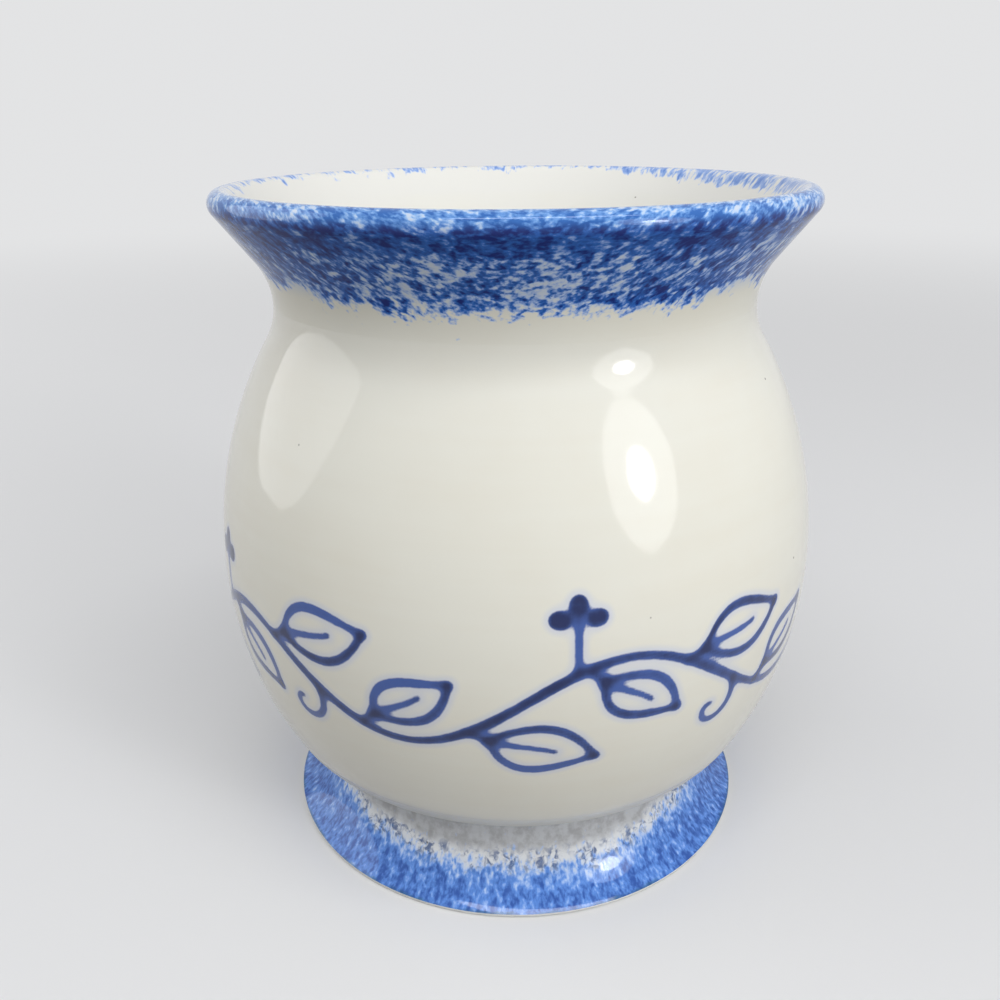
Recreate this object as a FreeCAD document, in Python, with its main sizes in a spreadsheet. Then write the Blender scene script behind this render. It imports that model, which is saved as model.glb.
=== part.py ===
import FreeCAD
import Part
import Sketcher
import itertools
import math
import os

# A utensil crock in millimetres, +Z up, its axis on Z and its bare foot edge standing on z = 0.
# The visible outside is one smooth outline: flared foot, crease, heel, belly, shoulder, neck and rim, with a
# rounded lip. Every other surface is that outline set some depth into the wall, on the same arc centres, so
# that clay and glaze coats meet exactly. Each piece is one closed profile turned once about Z.

SIZES = [
    ("waist_radius", 44.0, "outside of the waist, where the foot joins the vessel"),
    ("foot_flare", 8.8, "how far the foot's edge stands out past the waist"),
    ("foot_height", 19.6, "from the table to the glazed underside of the vessel"),
    ("foot_wall", 5.0, "wall of the hollow foot, glaze coats included"),
    ("foot_edge", 0.8, "height of the bare clay edge that the crock stands on"),
    ("foot_bevel", 0.4, "bevel round the outside of the sole"),
    ("crease_radius", 3.5, "hollow round between the foot and the vessel"),
    ("heel_radius", 12.2, "round under the belly, where the wall turns in to the floor"),
    ("belly_swell", 20.0, "how far the belly stands out past the waist"),
    ("belly_rise", 44.0, "from the vessel's underside up to the widest place"),
    ("neck_draw", 14.9, "how far the neck is drawn in from the belly"),
    ("shoulder_rise", 53.5, "from the widest place up to the neck"),
    ("neck_round", 14.6, "hollow round at the neck"),
    ("rim_out", 6.8, "how far the rim's straight stretch runs out"),
    ("rim_up", 8.8, "how far the rim's straight stretch runs up"),
    ("wall", 5.0, "wall of the vessel and the collar, glaze coats included; the lip is its full round"),
    ("glaze", 0.4, "one glaze coat"),
]
FULL_TURN = 360.0


class Length:
    """A length as a number, and as the sheet expression that a drawn dimension is bound to."""

    def __init__(self, value, text):
        self.value = value
        self.text = text

    def __add__(self, other):
        return Length(self.value + other.value, f"({self.text} + {other.text})")

    def __sub__(self, other):
        return Length(self.value - other.value, f"({self.text} - {other.text})")

    def __mul__(self, other):
        return Length(self.value * other.value, f"({self.text} * {other.text})")

    def __truediv__(self, other):
        return Length(self.value / other.value, f"({self.text} / {other.text})")

    def root(self):
        return Length(math.sqrt(self.value), f"sqrt({self.text})")


ZERO = Length(0.0, "0")
TWO = Length(2.0, "2")

doc = FreeCAD.newDocument("utensil_crock")
sheet = doc.addObject("Spreadsheet::Sheet", "sizes")
rows = itertools.count(1)


def cell(name, content, note):
    """Writes one named row of the sheet."""
    row = next(rows)
    sheet.set(f"A{row}", name)
    sheet.set(f"B{row}", content)
    sheet.setAlias(f"B{row}", name)
    sheet.set(f"C{row}", note)


def derive(name, length, note):
    """Writes a worked-out length into the sheet and returns it under its name."""
    cell(name, f"={length.text}", note)
    return Length(length.value, f"sizes.{name}")


size = {}
for name, value, note in SIZES:
    cell(name, str(value), note)
    size[name] = Length(value, f"sizes.{name}")

waist_radius, foot_flare, foot_height = size["waist_radius"], size["foot_flare"], size["foot_height"]
foot_wall, foot_edge, foot_bevel = size["foot_wall"], size["foot_edge"], size["foot_bevel"]
crease_radius, heel_radius = size["crease_radius"], size["heel_radius"]
belly_swell, belly_rise = size["belly_swell"], size["belly_rise"]
neck_draw, neck_round, shoulder_rise = size["neck_draw"], size["neck_round"], size["shoulder_rise"]
rim_out, rim_up, wall, glaze = size["rim_out"], size["rim_up"], size["wall"], size["glaze"]

# Main radii and heights.
foot_radius = derive("foot_radius", waist_radius + foot_flare, "outside of the foot's edge")
belly_radius = derive("belly_radius", waist_radius + belly_swell, "widest outside radius")
belly_height = derive("belly_height", foot_height + belly_rise, "height of the widest place")
neck_radius = derive("neck_radius", belly_radius - neck_draw, "outside of the neck")
neck_height = derive("neck_height", belly_height + shoulder_rise, "height of the neck")
lip_radius = derive("lip_radius", wall / TWO, "round of the lip")

# The heel is centred over the waist. The crease touches the heel and stands upright at the waist.
heel_z = derive("heel_z", foot_height + heel_radius, "heel centre above the table")
crease_drop = (heel_radius * (heel_radius + TWO * crease_radius)).root()
waist_height = derive("waist_height", heel_z - crease_drop, "height of the waist and of the crease centre")
crease_x = waist_radius + crease_radius

# The flare is the arc that leaves the waist upright and reaches the foot's edge.
flare_rise = waist_height - foot_edge
flare_sum = foot_flare * foot_flare + flare_rise * flare_rise
flare_radius = derive("flare_radius", flare_sum / (TWO * foot_flare), "hollow round of the foot")
flare_x = waist_radius + flare_radius

# The lower belly arc stands upright at the widest place and touches the heel from outside it.
heel_level = heel_z - belly_height
lower_sum = belly_swell * belly_swell + heel_level * heel_level - heel_radius * heel_radius
lower_span = TWO * (belly_swell - heel_radius)
lower_radius = derive("lower_radius", lower_sum / lower_span, "arc of the lower belly")
lower_x = derive("lower_x", belly_radius - lower_radius, "centre of the lower belly arc from the axis")

# The upper belly arc stands upright at the widest place and touches the neck round.
upper_sum = neck_draw * neck_draw + shoulder_rise * shoulder_rise - TWO * neck_draw * neck_round
upper_radius = derive("upper_radius", upper_sum / (TWO * neck_draw), "arc of the shoulder")
upper_x = derive("upper_x", belly_radius - upper_radius, "centre of the shoulder arc from the axis")
neck_x = derive("neck_x", neck_radius + neck_round, "centre of the neck round from the axis")

# The rim's straight stretch leaves the neck round and runs up to the lip. Its outward normal turns it in.
rim_length = derive("rim_length", (rim_out * rim_out + rim_up * rim_up).root(), "straight stretch of the rim")
normal_x = derive("normal_x", rim_up / rim_length, "outward share of the rim's normal")
normal_z = derive("normal_z", (ZERO - rim_out) / rim_length, "upward share of the rim's normal")
rounds = neck_round + lip_radius
lip_x = derive("lip_x", neck_x + rim_out - normal_x * rounds, "lip centre from the axis")
lip_z = derive("lip_z", neck_height + rim_up - normal_z * rounds, "lip centre above the table")

HEEL = (waist_radius, heel_z)
CREASE = (crease_x, waist_height)
FLARE = (flare_x, waist_height)
LOWER = (lower_x, belly_height)
UPPER = (upper_x, belly_height)
NECK = (neck_x, neck_height)
LIP = (lip_x, lip_z)


def between(start, end, reach, span):
    """The point at a given reach from start on the line to end, where span is the whole distance."""
    share = reach / span
    return start[0] + (end[0] - start[0]) * share, start[1] + (end[1] - start[1]) * share


def off_rim(centre, reach):
    """The point at a given reach from a centre, along the rim's outward normal."""
    return centre[0] + normal_x * reach, centre[1] + normal_z * reach


def on_flare(depth, drop):
    """The point of the flare at a depth in the wall, at a drop below the waist."""
    radius = flare_radius + depth
    return flare_x - (radius * radius - drop * drop).root(), waist_height - drop


# Stations along the outline, each as a function of the depth in the wall.
STATIONS = {
    "floor_middle": lambda depth: (ZERO, foot_height + depth),
    "heel_bottom": lambda depth: (waist_radius, foot_height + depth),
    "crease": lambda depth: between(HEEL, CREASE, heel_radius - depth, heel_radius + crease_radius),
    "waist": lambda depth: (waist_radius - depth, waist_height),
    "flare_edge": lambda depth: on_flare(depth, flare_rise),
    "flare_sole": lambda depth: (on_flare(depth, waist_height)[0], ZERO),
    "heel_top": lambda depth: between(LOWER, HEEL, lower_radius - depth, lower_radius - heel_radius),
    "belly": lambda depth: (belly_radius - depth, belly_height),
    "shoulder": lambda depth: between(UPPER, NECK, upper_radius - depth, upper_radius + neck_round),
    "neck": lambda depth: (neck_radius - depth, neck_height),
    "rim_low": lambda depth: off_rim(NECK, ZERO - neck_round - depth),
    "rim_high": lambda depth: off_rim(LIP, lip_radius - depth),
    "crest": lambda depth: (lip_x, lip_z + lip_radius - depth),
    "inner_crest": lambda depth: (lip_x, lip_z + depth - lip_radius),
}

# Arcs between stations, in either direction: the centre, and the radius at a depth in the wall.
ARCS = {
    frozenset(("heel_bottom", "crease")): (HEEL, lambda depth: heel_radius - depth),
    frozenset(("heel_bottom", "heel_top")): (HEEL, lambda depth: heel_radius - depth),
    frozenset(("crease", "heel_top")): (HEEL, lambda depth: heel_radius - depth),
    frozenset(("crease", "waist")): (CREASE, lambda depth: crease_radius + depth),
    frozenset(("waist", "flare_edge")): (FLARE, lambda depth: flare_radius + depth),
    frozenset(("waist", "flare_sole")): (FLARE, lambda depth: flare_radius + depth),
    frozenset(("heel_top", "belly")): (LOWER, lambda depth: lower_radius - depth),
    frozenset(("belly", "shoulder")): (UPPER, lambda depth: upper_radius - depth),
    frozenset(("shoulder", "neck")): (NECK, lambda depth: neck_round + depth),
    frozenset(("shoulder", "rim_low")): (NECK, lambda depth: neck_round + depth),
    frozenset(("neck", "rim_low")): (NECK, lambda depth: neck_round + depth),
    frozenset(("rim_high", "crest")): (LIP, lambda depth: lip_radius - depth),
    frozenset(("rim_high", "inner_crest")): (LIP, lambda depth: depth - lip_radius),
}


def run(depth, *names):
    """The outline at one depth through the named stations: its points, and the arc from each to the next."""
    points = [STATIONS[name](depth) for name in names]
    arcs = []
    for pair in zip(names, names[1:]):
        centre, radius = ARCS.get(frozenset(pair), (None, None))
        arcs.append((centre, radius(depth)) if centre else None)
    return points, arcs


def corners(*points):
    """A run of straight edges through the given points."""
    return list(points), [None] * (len(points) - 1)


def close(*runs):
    """One closed profile: the runs in order, joined by straight edges."""
    points, arcs = [], []
    for run_points, run_arcs in runs:
        points += run_points
        arcs += run_arcs + [None]
    return points, arcs


def vector(point):
    return FreeCAD.Vector(point[0].value, point[1].value, 0.0)


def draw_arc(sketch, start, end, centre, radius):
    """Adds the shorter arc from start to end, and returns its index with the marks of its two ends."""
    middle = vector(centre)
    first, last = start - middle, end - middle
    turns_left = first.x * last.y - first.y * last.x > 0
    if not turns_left:
        first, last = last, first
    angles = [math.atan2(first.y, first.x), math.atan2(last.y, last.x)]
    circle = Part.Circle(middle, FreeCAD.Vector(0, 0, 1), radius.value)
    index = sketch.addGeometry(Part.ArcOfCircle(circle, *angles))
    return (index, 1, 2) if turns_left else (index, 2, 1)


def bind(sketch, constraint, length):
    """Adds a dimension and binds it to the sheet."""
    index = sketch.addConstraint(constraint)
    sketch.setExpression(f"Constraints[{index}]", length.text)


def pin(sketch, geometry, end, point):
    """Places one corner of a profile, on an axis where its length is zero."""
    across, up = point
    if across is ZERO:
        sketch.addConstraint(Sketcher.Constraint("PointOnObject", geometry, end, -2))
    else:
        bind(sketch, Sketcher.Constraint("DistanceX", -1, 1, geometry, end, across.value), across)
    if up is ZERO:
        sketch.addConstraint(Sketcher.Constraint("PointOnObject", geometry, end, -1))
    else:
        bind(sketch, Sketcher.Constraint("DistanceY", -1, 1, geometry, end, up.value), up)


def turned(label, profile):
    """A body with one sketched profile in the XZ plane, turned once about Z."""
    points, arcs = profile
    body = doc.addObject("PartDesign::Body", label)
    body.Label = label
    sketch = body.newObject("Sketcher::SketchObject", f"{label}_profile")
    plane = next(item for item in body.Origin.OriginFeatures if item.Role == "XZ_Plane")
    sketch.AttachmentSupport = [(plane, "")]
    sketch.MapMode = "FlatFace"
    edges = []
    for place, arc in enumerate(arcs):
        start, end = vector(points[place]), vector(points[(place + 1) % len(points)])
        if arc:
            edges.append(draw_arc(sketch, start, end, *arc))
        else:
            edges.append((sketch.addGeometry(Part.LineSegment(start, end)), 1, 2))
    for place, (geometry, start, end) in enumerate(edges):
        before, before_start, before_end = edges[place - 1]
        sketch.addConstraint(Sketcher.Constraint("Coincident", before, before_end, geometry, start))
        pin(sketch, geometry, start, points[place])
        if arcs[place]:
            radius = arcs[place][1]
            bind(sketch, Sketcher.Constraint("Radius", geometry, radius.value), radius)
    turn = body.newObject("PartDesign::Revolution", f"{label}_turn")
    turn.Profile = sketch
    turn.ReferenceAxis = (sketch, ["V_Axis"])
    turn.Angle = FULL_TURN
    body.Placement = FreeCAD.Placement()
    return body


# Depths in the wall: the glazed outside is at zero, and clay lies under one glaze coat on each side.
inner_clay = wall - glaze
foot_inner_clay = foot_wall - glaze


def vessel():
    """Floor and belly wall, from the waist to the neck."""
    return close(run(glaze, "floor_middle", "heel_bottom", "heel_top", "belly", "shoulder", "neck"),
                 run(inner_clay, "neck", "shoulder", "belly", "heel_top", "heel_bottom", "floor_middle"))


def rim_collar():
    """Flaring collar from the neck to the rounded lip."""
    return close(run(glaze, "neck", "rim_low", "rim_high", "crest"),
                 run(inner_clay, "rim_high", "rim_low", "neck"))


def foot_ring():
    """Hollow flared foot, seated under the vessel's flat underside and heel."""
    seat = (waist_radius - foot_inner_clay, foot_height + glaze)
    edge = [(foot_radius, foot_edge), (foot_radius, foot_bevel), (foot_radius - foot_bevel, ZERO)]
    return close(corners(seat),
                 run(glaze, "heel_bottom", "crease", "waist", "flare_edge"),
                 corners(*edge),
                 run(foot_inner_clay, "flare_sole", "waist"))


def liner_glaze():
    """Coat over the floor, the inside wall and the lip, up to the lip's crest."""
    upward = ("floor_middle", "heel_bottom", "heel_top", "belly", "shoulder",
              "rim_low", "rim_high", "inner_crest")
    return close(run(inner_clay, *upward), run(wall, *upward[::-1]))


def body_glaze():
    """Coat over the belly, from the crease at the foot to the neck."""
    upward = ("crease", "heel_top", "belly", "shoulder", "neck")
    return close(run(ZERO, *upward), run(glaze, *upward[::-1]))


def rim_glaze():
    """Coat over the collar's outside, from the neck to the lip's crest."""
    upward = ("neck", "rim_low", "rim_high", "crest")
    return close(run(ZERO, *upward), run(glaze, *upward[::-1]))


def foot_glaze():
    """Coat over the foot's outside, from the crease to the bare edge."""
    downward = ("crease", "waist", "flare_edge")
    return close(run(ZERO, *downward), run(glaze, *downward[::-1]))


def base_glaze():
    """Coat in the recess under the foot, stopping at the height of the bare edge."""
    inner_corner = (waist_radius - foot_wall, foot_height)
    outer_corner = (waist_radius - foot_inner_clay, foot_height + glaze)
    return close(corners((ZERO, foot_height), inner_corner),
                 run(foot_wall, "waist", "flare_edge"),
                 run(foot_inner_clay, "flare_edge", "waist"),
                 corners(outer_corner, (ZERO, foot_height + glaze)))


PIECES = [vessel, rim_collar, foot_ring, liner_glaze, body_glaze, rim_glaze, foot_glaze, base_glaze]
bodies = [turned(piece.__name__, piece()) for piece in PIECES]
doc.recompute()

for item in doc.Objects:
    if "Invalid" in item.State or "Error" in item.State:
        raise RuntimeError(f"{item.Label} did not recompute: {item.State}")
    if item.isDerivedFrom("Sketcher::SketchObject") and not item.FullyConstrained:
        raise RuntimeError(f"{item.Label} is not fully constrained")
for body in bodies:
    if body.Shape.isNull() or not body.Shape.isValid() or len(body.Shape.Solids) != 1:
        raise RuntimeError(f"{body.Label} has no single valid solid")

os.makedirs("parts", exist_ok=True)
for body in bodies:
    body.Shape.exportStep(f"parts/{body.Label}.step")
    box = body.Shape.optimalBoundingBox()
    print(f"{body.Label}: {body.Shape.Volume:.1f} mm3, {box.XLength:.2f} mm wide, top at {box.ZMax:.2f} mm")
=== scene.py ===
# %% [markdown]
# # A sponged stoneware crock
# A crock for kitchen utensils: pale stoneware under cream glaze, cobalt sponged on the rim and the foot,
# and a vine brushed round the belly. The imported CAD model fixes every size. This lesson gives each clay
# member and each coat of glaze a smooth surface of its own, and a finish built from nodes.

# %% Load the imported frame
import math

import bpy
import numpy as np
from mathutils import Matrix, Vector


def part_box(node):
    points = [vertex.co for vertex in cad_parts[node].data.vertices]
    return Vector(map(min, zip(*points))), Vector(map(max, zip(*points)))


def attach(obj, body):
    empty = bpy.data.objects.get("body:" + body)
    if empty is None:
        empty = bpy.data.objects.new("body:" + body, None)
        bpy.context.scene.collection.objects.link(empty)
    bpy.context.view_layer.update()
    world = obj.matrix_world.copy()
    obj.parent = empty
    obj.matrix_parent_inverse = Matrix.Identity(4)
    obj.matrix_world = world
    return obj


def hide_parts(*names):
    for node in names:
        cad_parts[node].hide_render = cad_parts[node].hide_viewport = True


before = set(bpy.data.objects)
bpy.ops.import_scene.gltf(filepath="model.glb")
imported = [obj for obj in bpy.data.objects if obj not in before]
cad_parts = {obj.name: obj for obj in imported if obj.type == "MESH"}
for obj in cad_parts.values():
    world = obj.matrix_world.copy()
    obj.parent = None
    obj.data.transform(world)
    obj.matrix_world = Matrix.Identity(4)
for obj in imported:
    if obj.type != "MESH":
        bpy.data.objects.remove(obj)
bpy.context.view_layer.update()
print("nodes:", ", ".join(sorted(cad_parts)))

# %% [markdown]
# ## The outline
# The whole outside of the pot is one line: flared foot, crease, heel, lower and upper belly, throat,
# collar and lip. A potter would cut it as one template. Every other surface is the same line set some
# depth into the wall, so one table of circular rounds, each with its centre, serves clay and glaze
# alike. The main radii and heights are read from the boxes of the CAD nodes. Only sizes that no box
# shows, such as the rounds, are written here.

# %% Sizes in metres
MM = 0.001
WAIST_RADIUS = 44.0 * MM
CREASE_ROUND = 3.5 * MM
HEEL_ROUND = 12.2 * MM
BELLY_HEIGHT = 63.6 * MM
NECK_RADIUS = 49.1 * MM
NECK_ROUND = 14.6 * MM
FOOT_WALL = 5.0 * MM
FOOT_BEVEL = 0.4 * MM

belly_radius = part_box("body_glaze")[1].x
foot_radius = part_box("foot_ring")[1].x
foot_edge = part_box("foot_glaze")[0].z
neck_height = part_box("vessel")[1].z
crest_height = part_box("rim_glaze")[1].z
lip_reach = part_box("rim_glaze")[1].x
glaze = belly_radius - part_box("vessel")[1].x
foot_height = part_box("vessel")[0].z - glaze
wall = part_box("liner_glaze")[0].z + glaze - foot_height
lip_round = wall / 2
inner_clay = wall - glaze
foot_clay = FOOT_WALL - glaze
print(f"radii: belly {belly_radius / MM:.1f}, foot {foot_radius / MM:.1f}, lip {lip_reach / MM:.1f} mm")
print(f"wall {wall / MM:.2f}, glaze {glaze / MM:.2f} mm thick")

# %% Rounds of the foot
# Heel and crease touch: their centres are as far apart as the sum of their rounds.
heel = (WAIST_RADIUS, foot_height + HEEL_ROUND)
waist_height = heel[1] - math.sqrt(HEEL_ROUND * (HEEL_ROUND + 2 * CREASE_ROUND))
crease = (WAIST_RADIUS + CREASE_ROUND, waist_height)

# The flare is upright at the waist and passes through the foot's edge.
flare_out = foot_radius - WAIST_RADIUS
flare_round = (flare_out**2 + (waist_height - foot_edge) ** 2) / (2 * flare_out)
flare = (WAIST_RADIUS + flare_round, waist_height)
print(f"waist {waist_height / MM:.1f} mm up, round of the foot {flare_round / MM:.1f} mm")

# %% Rounds of the belly, the neck and the lip
# The lower belly is widest at the belly's height, and runs into the heel.
swell = belly_radius - WAIST_RADIUS
sink = BELLY_HEIGHT - heel[1]
lower_round = (swell**2 + sink**2 - HEEL_ROUND**2) / (2 * (swell - HEEL_ROUND))
lower = (belly_radius - lower_round, BELLY_HEIGHT)

# The shoulder starts where the lower belly ends, and turns over into the hollow of the neck.
draw = belly_radius - NECK_RADIUS
upper_round = (draw**2 + (neck_height - BELLY_HEIGHT) ** 2) / (2 * draw) - NECK_ROUND
upper = (belly_radius - upper_round, BELLY_HEIGHT)
neck = (NECK_RADIUS + NECK_ROUND, neck_height)
lip = (lip_reach - lip_round, crest_height - lip_round)
print(f"round of the lower belly {lower_round / MM:.1f} mm, of the shoulder {upper_round / MM:.1f} mm")


# %% Angles at which the rounds meet
def bearing(start, end):
    """The angle of the line from one point to another."""
    return math.atan2(end[1] - start[1], end[0] - start[0])


crease_turn = bearing(heel, crease)
heel_turn = bearing(lower, heel)
neck_turn = bearing(upper, neck)

# The rim's straight stretch touches the neck's round, which lies outside it, and the lip's, inside it.
rim_turn = bearing(neck, lip) - math.acos(-(NECK_ROUND + lip_round) / math.dist(neck, lip))
print(f"the rim leans out by {-math.degrees(rim_turn):.1f} degrees")

# %% The outline at any depth
ARC_POINTS = 240


def rounds(depth, low):
    """Each round as centre, radius and two angles: hollow ones grow with depth, and full ones shrink."""
    half = math.pi / 2
    sag = math.asin((waist_height - low) / (flare_round + depth))
    return {
        "flare": (flare, flare_round + depth, math.pi + sag, math.pi),
        "crease": (crease, CREASE_ROUND + depth, math.pi, math.pi + crease_turn),
        "seat": (heel, HEEL_ROUND - depth, crease_turn, -half),
        "heel": (heel, HEEL_ROUND - depth, crease_turn, heel_turn),
        "floor": (heel, HEEL_ROUND - depth, -half, heel_turn),
        "lower": (lower, lower_round - depth, heel_turn, 0.0),
        "upper": (upper, upper_round - depth, 0.0, neck_turn),
        "throat": (neck, NECK_ROUND + depth, math.pi + neck_turn, math.pi),
        "collar": (neck, NECK_ROUND + depth, math.pi, math.pi + rim_turn),
        "lip": (lip, lip_round - depth, rim_turn, half),
        "lip_inside": (lip, lip_round - depth, rim_turn, -half),
    }


def along_line(line):
    """The length along a line at each of its points."""
    return np.concatenate(([0.0], np.cumsum(np.hypot(*np.diff(line, axis=0).T))))


def evenly(line, step):
    """The line again, with points at even steps along its length."""
    length = along_line(line)
    place = np.linspace(0.0, length[-1], max(2, math.ceil(length[-1] / step) + 1))
    return np.column_stack([np.interp(place, length, line[:, axis]) for axis in (0, 1)])


def outline(depth, names, step, low=foot_edge, start=()):
    """The named rounds in a row: centre plus radius times cosine and sine, with straight joins."""
    table = rounds(depth, low)
    legs = [np.array(start).reshape(-1, 2)]
    for name in names:
        centre, radius, first, last = table[name]
        turn = np.linspace(first, last, ARC_POINTS)
        legs.append(np.array(centre) + radius * np.column_stack((np.cos(turn), np.sin(turn))))
    return evenly(np.vstack(legs), step)


# %% [markdown]
# ## Turning a profile
# A pot is thrown on a wheel, so each piece is a profile carried once round the axis. A Screw or Spin
# modifier would do that too, but a grid of angles by profile points gives every vertex a known place,
# which the brushwork needs later. A closed profile gives a ring. A profile that starts and ends on the
# axis gets one pole at each end. Each vertex also keeps its place on the wheel: where it stands round a
# plain drum, and how far along the profile. A pattern that reads this place follows the slope of the
# wall, however steep the wall is.


# %% Rings of points and their faces
def ring_grid(profile, sides):
    """Points (r sin a, -r cos a, z) for every profile point (r, z) and every angle a, ring after ring."""
    angle = np.arange(sides) * (2 * math.pi / sides)
    radius, height = profile[:, :1], np.repeat(profile[:, 1:], sides, axis=1)
    return np.stack((radius * np.sin(angle), -radius * np.cos(angle), height), axis=-1).reshape(-1, 3)


def ring_quads(rings, sides, closed):
    """Four corners for every cell between one ring and the next, and between one angle and the next."""
    cell = np.arange((rings if closed else rings - 1) * sides)
    ring, side = np.divmod(cell, sides)
    above, beside = (ring + 1) % rings, (side + 1) % sides
    near, far = ring * sides, above * sides
    return np.column_stack((near + side, near + beside, far + beside, far + side))


def pole_fans(rings, sides):
    """Triangles from the first pole to the first ring, and from the last ring to the last pole."""
    side = np.arange(sides)
    beside = (side + 1) % sides
    first, last = rings * sides, (rings - 1) * sides
    low = np.column_stack((np.full(sides, first), beside, side))
    high = np.column_stack((np.full(sides, first + 1), last + side, last + beside))
    return np.vstack((low, high))


# %% A mesh from whole arrays
SHARP_CORNER = math.radians(30)


def volume(points, quads, triangles):
    """The signed volume inside the faces: a sixth of the sum of each triangle's triple product."""
    split = np.vstack((quads[:, [0, 1, 2]], quads[:, [0, 2, 3]], triangles))
    a, b, c = (points[split[:, corner]] for corner in range(3))
    return np.einsum("ij,ij->", a, np.cross(b, c)) / 6


def surface(name, points, quads, triangles):
    """A smooth mesh object from whole arrays, its faces turned outwards and its corners kept sharp."""
    if volume(points, quads, triangles) < 0:
        quads, triangles = quads[:, ::-1], triangles[:, ::-1]
    mesh = bpy.data.meshes.new(name)
    mesh.vertices.add(len(points))
    mesh.vertices.foreach_set("co", points.ravel())
    mesh.loops.add(quads.size + triangles.size)
    mesh.loops.foreach_set("vertex_index", np.concatenate((quads.ravel(), triangles.ravel())))
    starts = np.concatenate((np.arange(len(quads)) * 4, quads.size + np.arange(len(triangles)) * 3))
    mesh.polygons.add(len(starts))
    mesh.polygons.foreach_set("loop_start", starts)
    mesh.polygons.foreach_set("use_smooth", np.ones(len(starts), bool))
    mesh.update(calc_edges=True)
    mesh.validate()
    mesh.set_sharp_from_angle(angle=SHARP_CORNER)
    piece = bpy.data.objects.new(name, mesh)
    bpy.context.scene.collection.objects.link(piece)
    return piece


# %% Turned pieces
def turned(name, profile, sides, drum=lip[0], start=0):
    """A profile carried round the axis, as a ring, or as a closed dome where its ends lie on the axis.

    The attribute wheel is (drum sin a, -drum cos a, length along the profile from its start point).
    """
    poled = profile[0, 0] == 0 and profile[-1, 0] == 0
    length = along_line(profile)
    unrolled = np.column_stack((np.full(len(profile), drum), length - length[start]))
    rings, drums = (profile[1:-1], unrolled[1:-1]) if poled else (profile, unrolled)
    points, wheel = ring_grid(rings, sides), ring_grid(drums, sides)
    triangles = np.zeros((0, 3), int)
    if poled:
        ends = [(0, 0, profile[0, 1]), (0, 0, profile[-1, 1])]
        points, wheel = np.vstack((points, ends)), np.vstack((wheel, ends))
        triangles = pole_fans(len(rings), sides)
    piece = surface(name, points, ring_quads(len(rings), sides, not poled), triangles)
    stored = piece.data.attributes.new("wheel", "FLOAT_VECTOR", "POINT")
    stored.data.foreach_set("vector", wheel.ravel())
    return piece


def dress(piece, node, finish):
    """Puts a piece in the place of its CAD node, with its material."""
    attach(piece, "root")
    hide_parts(node)
    piece.data.materials.append(finish)
    print(f"{piece.name}: {len(piece.data.polygons)} faces")


# %% [markdown]
# ## Shader sums
# A finish here is a sum of noises and masks. Written as Python expressions it reads like the sum that it
# is, so one small class wraps a node's output and adds a Math node for each plus, minus and times. Any
# other node comes from its one method, which sets the node's settings first and then its sockets.


# %% One class for sockets
class Socket:
    """A node's output. Arithmetic adds Math nodes, and node() adds any other node."""

    def __init__(self, tree, output):
        self.tree = tree
        self.output = output

    def node(self, kind, settings, sockets, result=0):
        """Adds a node, sets its settings, then gives each socket its number, its colour or its link."""
        made = self.tree.nodes.new(kind)
        for name, value in settings.items():
            setattr(made, name, value)
        for name, value in sockets.items():
            if isinstance(value, Socket):
                self.tree.links.new(value.output, made.inputs[name])
            else:
                made.inputs[name].default_value = value
        return Socket(self.tree, made.outputs[result])

    def math(self, operation, first, second):
        """One Math node."""
        return self.node("ShaderNodeMath", {"operation": operation}, {0: first, 1: second})

    def __add__(self, other):
        return self.math("ADD", self, other)

    def __radd__(self, other):
        return self.math("ADD", other, self)

    def __sub__(self, other):
        return self.math("SUBTRACT", self, other)

    def __rsub__(self, other):
        return self.math("SUBTRACT", other, self)

    def __mul__(self, other):
        return self.math("MULTIPLY", self, other)

    def __rmul__(self, other):
        return self.math("MULTIPLY", other, self)


# %% Masks, blends and noise
def rise(value, low, high):
    """Smoothly from 0 at low to 1 at high."""
    sockets = {"Value": value, "From Min": low, "From Max": high}
    return value.node("ShaderNodeMapRange", {"interpolation_type": "SMOOTHSTEP"}, sockets)


def blend(share, first, second):
    """The first colour where share is 0, and the second where it is 1."""
    return share.node("ShaderNodeMix", {"data_type": "RGBA"}, {0: share, 6: first, 7: second}, 2)


def grain(place, size, upright=1.0, detail=2.0, wander=0.0):
    """Noise of a given size in metres; upright over 1 packs it up and down, into level streaks."""
    scale = (1 / size, 1 / size, upright / size)
    spot = place.node("ShaderNodeVectorMath", {"operation": "MULTIPLY"}, {0: place, 1: scale})
    sockets = {"Vector": spot, "Scale": 1.0, "Detail": detail, "Roughness": 0.6, "Distortion": wander}
    return place.node("ShaderNodeTexNoise", {"noise_dimensions": "3D"}, sockets)


def waver(place, size, span, detail=2.0):
    """Noise to either side of nothing: its middle taken off, times the span from one end to the other."""
    return (grain(place, size, detail=detail) - 0.5) * span


# %% Places on a piece
def measure(place, axis):
    """One coordinate of a place in millimetres: 0 to the right, 1 to the back, 2 up."""
    return place.node("ShaderNodeSeparateXYZ", {}, {0: place}, axis) * (1 / MM)


def off_middle(place):
    """How far a place lies to either side of the middle, in millimetres."""
    return place.math("ABSOLUTE", measure(place, 0), 0.0)


def wheel_of(place):
    """The place on the wheel that turned() stored."""
    return place.node("ShaderNodeAttribute", {"attribute_name": "wheel"}, {}, "Vector")


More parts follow.
